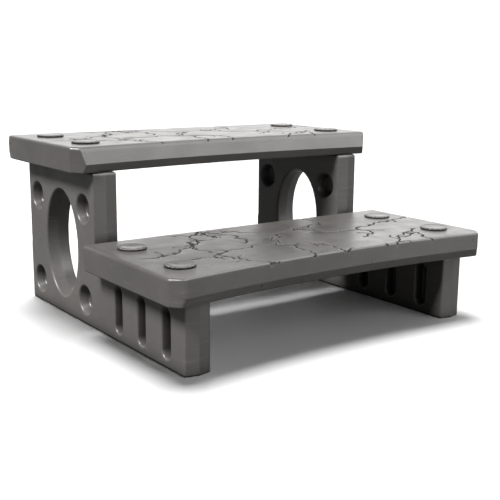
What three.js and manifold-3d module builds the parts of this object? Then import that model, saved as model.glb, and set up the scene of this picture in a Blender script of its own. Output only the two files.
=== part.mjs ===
// Two-tread spa steps: two hollow side panels carry two hollow treads, each held by four round-headed screws.
// Millimetres, +Z up, +X to the user's right when climbing. The origin is on the floor, in the middle of the
// steps' outline, and the user climbs towards +Y.
import * as THREE from "three";
import { mergeVertices } from "three/addons/utils/BufferGeometryUtils.js";
import Module from "manifold-3d";

// Treads
const WIDTH = 762;
const TREAD_DEPTH = 344;
const TREAD_THICKNESS = 51;
const LOWER_TOP = 183;
const UPPER_TOP = 367;
const TREAD_OFFSET = 362; // how far the upper tread lies behind the lower one
const FRONT_SAG = 26; // how far the middle of the hollowed front edge lies behind its ends
const FRONT_CORNER = 23; // chamfer of the two front corners, seen from above
const REAR_CORNER = 4;
const END_DRAFT = 1; // how far the two ends lean in from the top to the underside
const FRONT_CREASE = 17; // height of the foremost line of the front edge, above the underside
const FRONT_UNDERCUT = 6; // how far the front edge runs back in below its crease
const FRONT_SLOPE = 2; // how far it leans back above the crease, on the lower tread
const NOSE_SLOPE = 9; // the same on the upper tread
const REAR_CREASE = 13;
const REAR_UNDERCUT = 5;
const REAR_SLOPE = 3;
const CREASE_LAND = 0.4; // how far an edge's two slopes stay clear of its crease

// Side panels
const END_OVERHANG = 38; // tread end beyond the outer face of a panel
const PANEL_THICKNESS = 53;
const PANEL_FRONT = 32; // from the lower tread's front edge
const TALL_FRONT = 370; // front of the tall rear half
const PANEL_REAR = 687.5;
const PANEL_DRAFT = 5.5; // each half leans out by this much towards the parting plane
const PANEL_CORNER = 6;
const FOOT_CORNER = 5;
const PARTING_BAND = 4;
const FACE_CHAMFER = 2.5;
const CHAMFER_REACH = 8;
const HOLE_HALF_DEPTH = 77;
const HOLE_HALF_HEIGHT = 115;
const HOLE_PLACE = 525; // centre, from the lower tread's front edge
const HOLE_HEIGHT = 152; // centre above the floor
const HOLE_DRAFT = 4;
const DIMPLE_RADIUS = 30;
const DIMPLE_FLOOR_RADIUS = 21;
const DIMPLE_MIDDLE = 531.25; // middle between the front and rear dimples, and the place of the vent
const DIMPLE_SPREAD = 113; // from there to each dimple
const DIMPLE_HEIGHTS = [51, 239];
const SLOT_RADIUS = 15.5;
const SLOT_FLOOR_RADIUS = 10;
const SLOT_STRAIGHT = 63;
const SLOT_HEIGHT = 63; // centre above the floor
const SLOT_PLACES = [95, 184, 273]; // from the lower tread's front edge
const RECESS_DEPTH = 21;
const CORE_RECESS_DEPTH = 31.5; // the same where the cavity clears a recess: it passes the parting plane

// Moulding
const WALL = 4;
const GAP = 0.3; // clearance between pieces that touch
const VENT_RADIUS = 4;

// Underside cones of a tread, which brace its top skin
const CONE_MOUTH_RADIUS = 22;
const CONE_TIP_RADIUS = 9;
const CONE_COLUMNS = [-195, -65, 65, 195];
const CONE_ROWS = [-80, 80];

// Screws and the threaded bushings that they turn into
const SCREW_MIDDLE = 175; // from a tread's front edge to the middle between its screws
const SCREW_SPREAD = 87; // from there to each screw
const HEAD_RADIUS = 28.5;
const HEAD_HEIGHT = 4.5;
const RIM_WIDTH = 6; // raised ring round the dished top of a head
const DISH_DEPTH = 1.5;
const EDGE_BREAK = 1.5; // small chamfer at a head's rim and a shank's tip
const SHANK_RADIUS = 11;
const SHANK_CLEARANCE = 1;
const ENGAGEMENT = 13; // screw length inside the bushing
const BUSHING_RADIUS = 16;
const BUSHING_HEIGHT = 15;
const FLANGE_RADIUS = 19.5;
const FLANGE_HEIGHT = 2;

const DEPTH = TREAD_OFFSET + TREAD_DEPTH;
const PANEL_MIDDLE = WIDTH / 2 - END_OVERHANG - PANEL_THICKNESS / 2;
const ROUND_SEGMENTS = 16;
const CURVE_SEGMENTS = 12;
const SLOT_SEGMENTS = 5;
const CORNER_PULL = 0.42; // how far a rounded corner's middle point moves from its chord to the sharp corner
const CLEAR = 50; // how far a large cutter runs past what it cuts
const OVERCUT = 1; // the same for holes and recesses

// Turns an outline drawn in Y and Z, and extruded, to run along X.
const ALONG_X = new THREE.Matrix4().makeBasis(
  new THREE.Vector3(0, 1, 0),
  new THREE.Vector3(0, 0, 1),
  new THREE.Vector3(1, 0, 0),
);

const wasm = await Module();
wasm.setup();

const PLASTIC = { color: 0x77736f, roughness: 0.5, metalness: 0 };
const SCREW_PLASTIC = { color: 0x6e6b68, roughness: 0.4, metalness: 0 };
const BUSHING_PLASTIC = { color: 0x3a3a3a, roughness: 0.55, metalness: 0 };

// --- From geometry to solid and back ---

function solid(geometry) {
  geometry.deleteAttribute("normal");
  geometry.deleteAttribute("uv");
  const merged = mergeVertices(geometry, 1e-4);
  return new wasm.Manifold(
    new wasm.Mesh({
      numProp: 3,
      vertProperties: merged.attributes.position.array,
      triVerts: new Uint32Array(merged.index.array),
    }),
  );
}

function geometryOf(shape) {
  const mesh = shape.getMesh();
  const geometry = new THREE.BufferGeometry();
  geometry.setAttribute("position", new THREE.BufferAttribute(mesh.vertProperties, 3));
  geometry.setIndex(new THREE.BufferAttribute(mesh.triVerts, 1));
  const faceted = geometry.toNonIndexed();
  faceted.computeVertexNormals();
  return faceted;
}

function subtractAll(shape, cutters) {
  return cutters.reduce((left, cutter) => left.subtract(cutter), shape);
}

// --- Basic shapes ---

function block(low, high) {
  const size = new THREE.Vector3().subVectors(high, low);
  const centre = new THREE.Vector3().addVectors(low, high).multiplyScalar(0.5);
  return solid(new THREE.BoxGeometry(size.x, size.y, size.z).translate(centre.x, centre.y, centre.z));
}

// A turned shape standing on Z; the profile holds [radius, height] pairs from the bottom up.
function turned(profile, x, y, z) {
  const points = profile.map(([radius, height]) => new THREE.Vector2(radius, height));
  return new THREE.LatheGeometry(points, ROUND_SEGMENTS).rotateX(Math.PI / 2).translate(x, y, z);
}

function cylinder(radius, low, high, x, y) {
  const profile = [[0, low], [radius, low], [radius, high], [0, high]];
  return solid(turned(profile, x, y, 0));
}

// An outline drawn in Y and Z, extruded along X around x = 0. It is its own size at both end faces
// and grows by the draft towards the middle.
function drafted(outline, thickness, band, draft, inset = 0) {
  const geometry = new THREE.ExtrudeGeometry(outline, {
    depth: band,
    bevelThickness: (thickness - band) / 2,
    bevelSize: draft,
    bevelOffset: -inset,
    bevelSegments: 1,
  });
  geometry.translate(0, 0, -band / 2);
  return solid(geometry.applyMatrix4(ALONG_X));
}

// A closed path through corners given as [y, z, radius]; a radius of 0 keeps the corner sharp.
function rounded(corners) {
  const path = new THREE.Shape();
  corners.forEach(([a, b, radius], i) => {
    if (!radius) {
      path.lineTo(a, b);
      return;
    }
    const before = corners[(i + corners.length - 1) % corners.length];
    const after = corners[(i + 1) % corners.length];
    const here = new THREE.Vector2(a, b);
    const back = new THREE.Vector2(before[0], before[1]).sub(here).setLength(radius).add(here);
    const on = new THREE.Vector2(after[0], after[1]).sub(here).setLength(radius).add(here);
    if (i === 0) path.moveTo(back.x, back.y);
    else path.lineTo(back.x, back.y);
    const middle = new THREE.Vector2().addVectors(back, on).multiplyScalar(0.5).lerp(here, CORNER_PULL);
    path.lineTo(middle.x, middle.y);
    path.lineTo(on.x, on.y);
  });
  path.closePath();
  return path;
}

// --- Side panels ---

const LOW_BLOCK_TOP = LOWER_TOP - TREAD_THICKNESS - GAP;
const TALL_BLOCK_TOP = UPPER_TOP - TREAD_THICKNESS - GAP;

function panelOutline() {
  return rounded([
    [PANEL_FRONT, 0, FOOT_CORNER],
    [PANEL_REAR, 0, FOOT_CORNER],
    [PANEL_REAR, TALL_BLOCK_TOP, PANEL_CORNER],
    [TALL_FRONT, TALL_BLOCK_TOP, PANEL_CORNER],
    [TALL_FRONT, LOW_BLOCK_TOP, 0],
    [PANEL_FRONT, LOW_BLOCK_TOP, PANEL_CORNER],
  ]);
}

// Flattens what the draft pushes below the floor and above the two bearing surfaces.
function levelled(panel, inset) {
  const reach = 2 * DEPTH;
  const under = block(new THREE.Vector3(-reach, -reach, -CLEAR), new THREE.Vector3(reach, reach, inset));
  const overTall = block(
    new THREE.Vector3(-reach, -reach, TALL_BLOCK_TOP - inset),
    new THREE.Vector3(reach, reach, TALL_BLOCK_TOP + CLEAR),
  );
  const overLow = block(
    new THREE.Vector3(-reach, -reach, LOW_BLOCK_TOP - inset),
    new THREE.Vector3(reach, TALL_FRONT - PANEL_DRAFT + inset, TALL_BLOCK_TOP),
  );
  return subtractAll(panel, [under, overTall, overLow]);
}

function panelHole(growth) {
  const outline = new THREE.Shape();
  const depth = HOLE_HALF_DEPTH + growth;
  const height = HOLE_HALF_HEIGHT + growth;
  outline.absellipse(HOLE_PLACE, HOLE_HEIGHT, depth, height, 0, 2 * Math.PI, false);
  const geometry = new THREE.ExtrudeGeometry(outline, {
    depth: PARTING_BAND,
    bevelThickness: (PANEL_THICKNESS - PARTING_BAND) / 2 + OVERCUT,
    bevelSize: -HOLE_DRAFT,
    bevelSegments: 1,
    curveSegments: CURVE_SEGMENTS,
  });
  geometry.translate(0, 0, -PARTING_BAND / 2);
  return solid(geometry.applyMatrix4(ALONG_X));
}

// Recesses are made for the +X face. A grown one, for the cavity, runs past the parting plane, so that
// the walls around two opposite recesses join.
function recessDepth(growth) {
  return growth > 0 ? CORE_RECESS_DEPTH : RECESS_DEPTH;
}

function dimple(y, z, growth) {
  const face = PANEL_THICKNESS / 2;
  const above = face + OVERCUT;
  const floor = face - recessDepth(growth);
  const narrow = DIMPLE_FLOOR_RADIUS + growth;
  const wide = DIMPLE_RADIUS + growth;
  const profile = [[0, floor], [narrow, floor], [wide, face], [wide, above], [0, above]];
  const points = profile.map(([radius, height]) => new THREE.Vector2(radius, height));
  return new THREE.LatheGeometry(points, ROUND_SEGMENTS).rotateZ(-Math.PI / 2).translate(0, y, z);
}

function slot(y, z, growth) {
  const narrow = SLOT_FLOOR_RADIUS + growth;
  const reach = SLOT_STRAIGHT / 2;
  const outline = new THREE.Shape();
  outline.absarc(0, reach, narrow, 0, Math.PI, false);
  outline.absarc(0, -reach, narrow, Math.PI, 2 * Math.PI, false);
  const geometry = new THREE.ExtrudeGeometry(outline, {
    depth: OVERCUT,
    bevelThickness: recessDepth(growth),
    bevelSize: SLOT_RADIUS - SLOT_FLOOR_RADIUS,
    bevelSegments: 1,
    curveSegments: SLOT_SEGMENTS,
  });
  return geometry.applyMatrix4(ALONG_X).translate(PANEL_THICKNESS / 2, y, z);
}

// Every recess on both faces. The ones on the -X face are the same shapes turned half round about Z.
function panelRecesses(growth) {
  const places = SLOT_PLACES.map((y) => [slot, y, SLOT_HEIGHT]);
  for (const z of DIMPLE_HEIGHTS) {
    places.push([dimple, DIMPLE_MIDDLE - DIMPLE_SPREAD, z], [dimple, DIMPLE_MIDDLE + DIMPLE_SPREAD, z]);
  }
  return places.flatMap(([recess, y, z]) => [
    solid(recess(y, z, growth)),
    solid(recess(-y, z, growth).rotateZ(Math.PI)),
  ]);
}

function screwPlaces(treadFront) {
  const middle = treadFront + SCREW_MIDDLE;
  return { front: middle - SCREW_SPREAD, rear: middle + SCREW_SPREAD };
}

function socketCutters(growth) {
  const sockets = [];
  for (const [front, top] of [[0, LOW_BLOCK_TOP], [TREAD_OFFSET, TALL_BLOCK_TOP]]) {
    for (const y of Object.values(screwPlaces(front))) {
      const floor = top - BUSHING_HEIGHT - GAP;
      sockets.push(cylinder(BUSHING_RADIUS + GAP + growth, floor - growth, top + OVERCUT, 0, y));
      if (!growth) {
        const ledge = top - FLANGE_HEIGHT - GAP;
        sockets.push(cylinder(FLANGE_RADIUS + GAP, ledge, top + OVERCUT, 0, y));
      }
    }
  }
  return sockets;
}

function sidePanel() {
  const outline = panelOutline();
  const core = drafted(outline, PANEL_THICKNESS, PARTING_BAND, PANEL_DRAFT);
  const straight = PANEL_THICKNESS - 2 * CHAMFER_REACH;
  const edge = drafted(outline, PANEL_THICKNESS, straight, CHAMFER_REACH, FACE_CHAMFER);
  const outer = levelled(core.intersect(edge), 0);
  const inner = drafted(outline, PANEL_THICKNESS - 2 * WALL, PARTING_BAND, PANEL_DRAFT, WALL);
  const cavity = subtractAll(levelled(inner, WALL), [
    panelHole(WALL),
    ...panelRecesses(WALL),
    ...socketCutters(WALL),
  ]);
  const vent = cylinder(VENT_RADIUS, -OVERCUT, 2 * WALL, 0, DIMPLE_MIDDLE);
  return subtractAll(outer, [panelHole(0), ...panelRecesses(0), cavity, ...socketCutters(0), vent]);
}

// --- Treads ---

// The outline seen from above, at the crease: straight at the back, hollowed at the front.
function treadOutline() {
  const half = WIDTH / 2;
  const outline = new THREE.Shape();
  outline.moveTo(half - REAR_CORNER, TREAD_DEPTH);
  outline.lineTo(-half + REAR_CORNER, TREAD_DEPTH);
  outline.lineTo(-half, TREAD_DEPTH - REAR_CORNER);
  outline.lineTo(-half, FRONT_CORNER);
  outline.lineTo(-half + FRONT_CORNER, 0);
  outline.quadraticCurveTo(0, 2 * FRONT_SAG, half - FRONT_CORNER, 0);
  outline.lineTo(half, FRONT_CORNER);
  outline.lineTo(half, TREAD_DEPTH - REAR_CORNER);
  outline.closePath();
  return outline;
}

// The outline's body with its ends drafted, inset by a wall for the cavity.
function treadBlock(inset) {
  const geometry = new THREE.ExtrudeGeometry(treadOutline(), {
    depth: CLEAR,
    bevelThickness: TREAD_THICKNESS,
    bevelSize: END_DRAFT,
    bevelOffset: -END_DRAFT - inset,
    bevelSegments: 1,
    curveSegments: CURVE_SEGMENTS,
  });
  const leaning = solid(geometry.translate(0, 0, TREAD_THICKNESS));
  const reach = 2 * WIDTH;
  const top = TREAD_THICKNESS - inset;
  const slab = block(new THREE.Vector3(-reach, -reach, inset), new THREE.Vector3(reach, reach, top));
  return leaning.intersect(slab);
}

// The space in front of a tread's hollowed edge, and the space behind its straight one, seen from above.
function frontRegion() {
  const half = WIDTH / 2 - FRONT_CORNER;
  const region = new THREE.Shape();
  region.moveTo(half, 0);
  region.quadraticCurveTo(0, 2 * FRONT_SAG, -half, 0);
  region.lineTo(-WIDTH, 0);
  region.lineTo(-WIDTH, -CLEAR);
  region.lineTo(WIDTH, -CLEAR);
  region.lineTo(WIDTH, 0);
  region.closePath();
  return region;
}

function rearRegion() {
  const region = new THREE.Shape();
  region.moveTo(-WIDTH, TREAD_DEPTH);
  region.lineTo(WIDTH, TREAD_DEPTH);
  region.lineTo(WIDTH, TREAD_DEPTH + CLEAR);
  region.lineTo(-WIDTH, TREAD_DEPTH + CLEAR);
  region.closePath();
  return region;
}

// Cuts one edge's slope: it starts at the crease and grows into the tread as it rises, or as it falls.
function slopeCutter(region, crease, lean, rises, inset) {
  const rise = rises ? TREAD_THICKNESS - crease : crease;
  const geometry = new THREE.ExtrudeGeometry(region, {
    depth: CLEAR,
    bevelThickness: rise,
    bevelSize: lean + CREASE_LAND,
    bevelOffset: inset - CREASE_LAND,
    bevelSegments: 1,
    curveSegments: CURVE_SEGMENTS,
  });
  return solid(geometry.translate(0, 0, rises ? TREAD_THICKNESS : -CLEAR));
}

function treadBody(frontSlope, inset) {
  return subtractAll(treadBlock(inset), [
    slopeCutter(frontRegion(), FRONT_CREASE, frontSlope, true, inset),
    slopeCutter(frontRegion(), FRONT_CREASE, FRONT_UNDERCUT, false, inset),
    slopeCutter(rearRegion(), REAR_CREASE, REAR_SLOPE, true, inset),
    slopeCutter(rearRegion(), REAR_CREASE, REAR_UNDERCUT, false, inset),
  ]);
}

function bracingCones(growth) {
  const tip = TREAD_THICKNESS - 2 * WALL - GAP;
  return CONE_COLUMNS.flatMap((x) =>
    CONE_ROWS.map((row) => {
      const y = TREAD_DEPTH / 2 + FRONT_SAG / 2 + row;
      const top = growth ? TREAD_THICKNESS : tip;
      const wide = CONE_MOUTH_RADIUS + growth;
      const narrow = CONE_TIP_RADIUS + growth;
      const profile = [[0, -OVERCUT], [wide, -OVERCUT], [narrow, top], [0, top]];
      return solid(turned(profile, x, y, 0));
    }),
  );
}

function shankHoles(radius) {
  return [-1, 1].flatMap((side) =>
    Object.values(screwPlaces(0)).map((y) =>
      cylinder(radius, -OVERCUT, TREAD_THICKNESS + OVERCUT, side * PANEL_MIDDLE, y),
    ),
  );
}

function tread(frontSlope) {
  const holeRadius = SHANK_RADIUS + SHANK_CLEARANCE;
  const cavity = subtractAll(treadBody(frontSlope, WALL), [
    ...bracingCones(WALL),
    ...shankHoles(holeRadius + WALL),
  ]);
  const vent = cylinder(VENT_RADIUS, -OVERCUT, 2 * WALL, 0, TREAD_DEPTH / 2);
  return subtractAll(treadBody(frontSlope, 0), [
    ...bracingCones(0),
    cavity,
    ...shankHoles(holeRadius),
    vent,
  ]);
}

// --- Screws and bushings, with their origin at the bearing face below the head or flange ---

function screwGeometry() {
  const length = TREAD_THICKNESS + GAP + ENGAGEMENT;
  const profile = [
    [0, -length],
    [SHANK_RADIUS - EDGE_BREAK, -length],
    [SHANK_RADIUS, EDGE_BREAK - length],
    [SHANK_RADIUS, 0],
    [HEAD_RADIUS, 0],
    [HEAD_RADIUS, HEAD_HEIGHT - EDGE_BREAK],
    [HEAD_RADIUS - EDGE_BREAK, HEAD_HEIGHT],
    [HEAD_RADIUS - RIM_WIDTH, HEAD_HEIGHT],
    [HEAD_RADIUS - RIM_WIDTH - DISH_DEPTH, HEAD_HEIGHT - DISH_DEPTH],
    [0, HEAD_HEIGHT - DISH_DEPTH],
  ];
  return turned(profile, 0, 0, 0);
}

function bushingGeometry() {
  const bore = SHANK_RADIUS + GAP;
  const profile = [
    [bore, -BUSHING_HEIGHT],
    [BUSHING_RADIUS, -BUSHING_HEIGHT],
    [BUSHING_RADIUS, -FLANGE_HEIGHT],
    [FLANGE_RADIUS, -FLANGE_HEIGHT],
    [FLANGE_RADIUS, 0],
    [bore, 0],
    [bore, -BUSHING_HEIGHT],
  ];
  return turned(profile, 0, 0, 0);
}

// --- Assembly ---

const steps = new THREE.Group();
steps.position.y = -DEPTH / 2;

function place(name, geometry, look, x, y, z) {
  const mesh = new THREE.Mesh(geometry, new THREE.MeshStandardMaterial(look));
  mesh.name = name;
  mesh.position.set(x, y, z);
  steps.add(mesh);
}

const panel = sidePanel();
place("side_panel_left", geometryOf(panel), PLASTIC, -PANEL_MIDDLE, 0, 0);
place("side_panel_right", geometryOf(panel), PLASTIC, PANEL_MIDDLE, 0, 0);

const LEVELS = [
  { level: "lower", front: 0, top: LOWER_TOP, slope: FRONT_SLOPE },
  { level: "upper", front: TREAD_OFFSET, top: UPPER_TOP, slope: NOSE_SLOPE },
];
for (const { level, front, top, slope } of LEVELS) {
  const seat = top - TREAD_THICKNESS - GAP;
  place(`${level}_tread`, geometryOf(tread(slope)), PLASTIC, 0, front, top - TREAD_THICKNESS);
  for (const [row, y] of Object.entries(screwPlaces(front))) {
    for (const [side, x] of [["left", -PANEL_MIDDLE], ["right", PANEL_MIDDLE]]) {
      place(`${level}_screw_${row}_${side}`, screwGeometry(), SCREW_PLASTIC, x, y, top + GAP);
      place(`${level}_bushing_${row}_${side}`, bushingGeometry(), BUSHING_PLASTIC, x, y, seat);
    }
  }
}

const part = new THREE.Group();
part.add(steps);
export default part;
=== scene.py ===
"""Looks for the two-tread spa steps: moulded plastic panels, stone-patterned treads and screw heads.

Lengths in the shape code are millimetres, and points are turned to metres where an object is made.
"""
import math
import random

import bpy
import numpy as np
from mathutils import Matrix, Vector, noise
from mathutils.geometry import delaunay_2d_cdt


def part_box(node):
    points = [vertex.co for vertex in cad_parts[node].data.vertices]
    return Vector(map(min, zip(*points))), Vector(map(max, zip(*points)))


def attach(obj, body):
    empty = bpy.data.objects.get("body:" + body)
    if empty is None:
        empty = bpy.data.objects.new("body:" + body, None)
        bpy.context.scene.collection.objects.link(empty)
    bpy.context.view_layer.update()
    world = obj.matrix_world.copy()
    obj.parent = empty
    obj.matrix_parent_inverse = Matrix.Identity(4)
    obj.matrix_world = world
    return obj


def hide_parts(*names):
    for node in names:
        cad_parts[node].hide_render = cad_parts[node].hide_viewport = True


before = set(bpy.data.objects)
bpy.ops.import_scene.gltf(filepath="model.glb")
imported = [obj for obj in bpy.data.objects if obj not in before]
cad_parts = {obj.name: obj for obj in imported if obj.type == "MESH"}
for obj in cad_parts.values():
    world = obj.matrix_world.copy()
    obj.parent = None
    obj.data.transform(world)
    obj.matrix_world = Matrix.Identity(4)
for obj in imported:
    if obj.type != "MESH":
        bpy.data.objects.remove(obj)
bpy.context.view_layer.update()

MM = 0.001

# -------------------------------------- places: boxes from the frame, and the steps' spacing
panel_low, panel_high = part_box("side_panel_left")
tread_low, tread_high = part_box("lower_tread")
PANEL_X = (panel_low.x + panel_high.x) / 2 / MM
PANEL_HALF = (panel_high.x - panel_low.x) / 2 / MM  # half its thickness
TREAD_DEPTH = 344.0
TREAD_OFFSET = 362.0  # how far the upper tread lies behind the lower one
FRONT_Y = -(TREAD_DEPTH + TREAD_OFFSET) / 2  # the lower tread's front edge; panel places are measured from it
GAP = 0.3  # between a panel's top and the tread on it
TALL_TOP = panel_high.z / MM
LOW_TOP = tread_low.z / MM - GAP
HALF_WIDTH = tread_high.x / MM
THICKNESS = (tread_high.z - tread_low.z) / MM

# ---------------------------------------------------------------- panel sizes
DRAFT = 5.5  # each half of a panel leans out by this much towards the parting plane
HOLE_DRAFT = 4.0
RIDGE_SOFTNESS = 0.7  # rounds the crest of the parting ridge
BLOCK_FRONT = panel_low.y / MM - FRONT_Y + DRAFT
BLOCK_REAR = panel_high.y / MM - FRONT_Y - DRAFT
BELOW_FLOOR = -60.0  # the blocks' outlines start here, and the floor cuts them
BLOCK_CORNER = 6.0
TALL_FRONT = 370.0
DIMPLE_MIDDLE = 531.25
HOLE_CENTRE = (525.0, 152.0)
HOLE_HALF = (77.0, 115.0)
DIMPLE_RADII = (21.0, 30.0)
DIMPLES = [(DIMPLE_MIDDLE + side * 113.0, z) for side in (-1, 1) for z in (51.0, 239.0)]
SLOT_RADII = (10.0, 15.5)
SLOT_HALF_STRAIGHT = 31.5
SLOTS = [(y, 63.0) for y in (95.0, 184.0, 273.0)]
RECESS_DEPTH = 21.0
RECESS_FLOOR = PANEL_HALF - RECESS_DEPTH
RECESS_FLOOR_ROUND = 4.0
SOCKETS = [(y, LOW_TOP) for y in (88.0, 262.0)] + [(y, TALL_TOP) for y in (450.0, 624.0)]
SOCKET_RADIUS, SOCKET_DEPTH = 16.3, 15.3  # a bushing's body, with its clearance
FLANGE_RADIUS, FLANGE_DEPTH = 19.8, 2.3  # a bushing's flange, with its clearance
TOP_ROUND = 3.0
STEP_ROUND = 5.0  # the inner corner between the low and the tall part
FOOT_ROUND = 2.5
FACE_ROUND = 2.5
HOLE_ROUND = 4.0
LIP_ROUND = 3.0
GRID_STEP = 3.0
SURFACE_PULLS = 4  # how often the net's points are pulled onto the surface

# ---------------------------------------------------------------- tread sizes
FRONT_SAG = 26.0
CORNER = 23.0
FRONT_CREASE, FRONT_UNDERCUT = 17.0, 6.0
REAR_CREASE, REAR_UNDERCUT, REAR_LEAN = 13.0, 5.0, 3.0
END_DRAFT = 1.0
INNER_REACH = 40.0  # a point well inside the edge, on the flat top or underside
EDGE_FOOT_ROUND = 3.0
CREASE_ROUND = 2.0
REAR_TOP_ROUND = 3.0
END_TOP_ROUND = 6.0
RIM_IN_LOW, RIM_IN_HIGH = 1.0, 1.5  # the last rows of an edge lie this far in on the underside and top
CORNER_ROWS, SHOULDER_ROWS = 5, 9
FLAT_SHARES = (0.06, 0.35, 0.65, 0.94)  # rows on the flat between two rounded corners
# Each tread's front edge: how far it leans in at the top, how round it is there and at its two corners
FRONT_EDGES = {"lower": (2.0, 4.0, 10.0), "upper": (9.0, 12.0, 2.0)}
SHANK_HOLE = 12.0
SHANK_HOLE_SIDES = 32
CONES = [(x, TREAD_DEPTH / 2 + FRONT_SAG / 2 + row) for x in (-195, -65, 65, 195) for row in (-80, 80)]
CONE_MOUTH, CONE_TIP = 22.0, 9.0
CONE_LIP = 2.0  # the rounded rim around a cone's mouth
CONE_SKIN = 9.0  # left between a cone's tip and the tread's top
CONE_SIDES = 40
VENT_RADIUS, VENT_DEPTH, VENT_SIDES = 4.0, 8.0, 16
SCREW_X = -PANEL_X
SCREW_ROWS = (88.0, 262.0)
REAR_ROUND = 4.0
FRONT_COUNT = 241  # points along the hollowed front edge
FRONT_LEAD = 9  # the point of it that a front corner turns towards
REAR_CORNER_COUNT = 6
SIDE_COUNT = 46
REAR_COUNT = 120
FACET_COUNT = 5


# ================================================================ small helpers
def make_object(name, points, faces, normals=None):
    """A mesh object from points in millimetres."""
    mesh = bpy.data.meshes.new(name)
    mesh.from_pydata([tuple(p) for p in np.asarray(points, float) * MM], [], [tuple(f) for f in faces])
    mesh.validate()
    mesh.update()
    mesh.shade_smooth()
    if normals is not None:
        mesh.normals_split_custom_set_from_vertices([tuple(n) for n in normals])
    piece = bpy.data.objects.new(name, mesh)
    bpy.context.scene.collection.objects.link(piece)
    return piece


def add_attribute(piece, name, values):
    """Stores one number for each point of a piece, for its material to read."""
    layer = piece.data.attributes.new(name, "FLOAT", "POINT")
    layer.data.foreach_set("value", np.asarray(values, np.float32))


def round_max(a, b, radius):
    """Intersection of two distance fields with a rounded edge."""
    corner = np.hypot(np.maximum(a + radius, 0), np.maximum(b + radius, 0)) - radius
    return np.where((a > -radius) & (b > -radius), corner, np.maximum(a, b))


def round_min(a, b, radius):
    """Union of two distance fields with a rounded inner corner."""
    return -round_max(-a, -b, radius)


def box_distance(y, z, y0, y1, z0, z1, radius):
    """Distance to a rectangle whose corners are rounded."""
    dy = np.abs(y - (y0 + y1) / 2) - (y1 - y0) / 2 + radius
    dz = np.abs(z - (z0 + z1) / 2) - (z1 - z0) / 2 + radius
    outside = np.hypot(np.maximum(dy, 0), np.maximum(dz, 0))
    return outside + np.minimum(np.maximum(dy, dz), 0) - radius


# ================================================================ side panels
def panel_field(p):
    """Distance to a side panel's surface.

    x is measured from its parting plane, and y from the lower tread's front.
    """
    x, y, z = p[..., 0], p[..., 1], p[..., 2]
    off = np.sqrt(x * x + RIDGE_SOFTNESS ** 2)
    share = np.clip(1 - off / PANEL_HALF, 0, 1)
    lean = DRAFT * share
    low = box_distance(y, z, BLOCK_FRONT, BLOCK_REAR, BELOW_FLOOR, LOW_TOP, BLOCK_CORNER) - lean
    tall = box_distance(y, z, TALL_FRONT, BLOCK_REAR, BELOW_FLOOR, TALL_TOP, BLOCK_CORNER) - lean
    low = round_max(low, z - LOW_TOP, TOP_ROUND)
    tall = round_max(tall, z - TALL_TOP, TOP_ROUND)
    body = round_max(round_min(low, tall, STEP_ROUND), -z, FOOT_ROUND)
    body = round_max(body, off - PANEL_HALF, FACE_ROUND)
    body = round_max(body, -hole_distance(y, z, HOLE_DRAFT * share), HOLE_ROUND)
    for centre in DIMPLES:
        across = np.hypot(y - centre[0], z - centre[1])
        body = round_max(body, -recess_distance(across, off, DIMPLE_RADII), LIP_ROUND)
    for centre in SLOTS:
        along = np.maximum(np.abs(z - centre[1]) - SLOT_HALF_STRAIGHT, 0)
        across = np.hypot(y - centre[0], along)
        body = round_max(body, -recess_distance(across, off, SLOT_RADII), LIP_ROUND)
    for place, top in SOCKETS:
        across = np.hypot(x, y - place)
        body = np.maximum(body, -np.maximum(across - SOCKET_RADIUS, top - SOCKET_DEPTH - z))
        body = np.maximum(body, -np.maximum(across - FLANGE_RADIUS, top - FLANGE_DEPTH - z))
    return body


def hole_distance(y, z, lean):
    """Distance to the oval through-hole, which narrows by the draft towards the parting plane."""
    a, b = HOLE_HALF[0] - lean, HOLE_HALF[1] - lean
    dy, dz = y - HOLE_CENTRE[0], z - HOLE_CENTRE[1]
    reach = np.sqrt((dy / a) ** 2 + (dz / b) ** 2) + 1e-9
    slope = np.sqrt((dy / a ** 2) ** 2 + (dz / b ** 2) ** 2) + 1e-9
    return reach * (reach - 1) / slope


def recess_distance(across, off, radii):
    """Distance to a blind recess that narrows from the face to its floor, on both faces alike."""
    floor_radius, mouth_radius = radii
    slope = (mouth_radius - floor_radius) / RECESS_DEPTH
    wall = (across - floor_radius - slope * (off - RECESS_FLOOR)) / math.hypot(1, slope)
    return round_max(wall, RECESS_FLOOR - off, RECESS_FLOOR_ROUND)


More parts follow.
